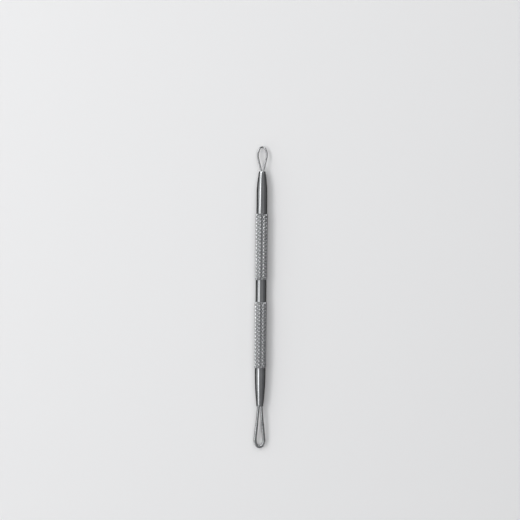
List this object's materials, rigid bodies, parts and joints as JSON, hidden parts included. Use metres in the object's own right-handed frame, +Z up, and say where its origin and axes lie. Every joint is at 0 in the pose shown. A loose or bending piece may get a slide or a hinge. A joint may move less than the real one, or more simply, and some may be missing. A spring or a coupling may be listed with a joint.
{
  "type": "blackhead extractor",
  "caption": "Double-ended steel skin tool for pressing out blackheads: a knurled rod handle with a fine wire loop at one tip and a longer loop of heavier, flattened wire at the other.",
  "frame": {"origin": "middle of the tool's length, on the surface that the knurled grip bands lie on", "axes": "+Y along the handle towards the fine loop, -Y towards the broad loop, +X across the loops, +Z up out of the surface, away from the way the loops dip"},
  "size_m": [0.006, 0.151, 0.006],
  "materials": {
    "handle_steel": "turned and knurled stainless steel, lightly polished",
    "fine_wire_steel": "bright drawn stainless steel wire",
    "broad_wire_steel": "stainless steel wire, pressed slightly flat in the loop and polished",
    "braze_alloy": "pale silver braze, smooth where it flowed"
  },
  "bodies": {
    "root": {"knurled_handle": "handle_steel", "fine_wire_loop": "fine_wire_steel", "fine_loop_braze": "braze_alloy", "broad_wire_loop": "broad_wire_steel", "broad_loop_braze": "braze_alloy"}
  },
  "joints": []
}
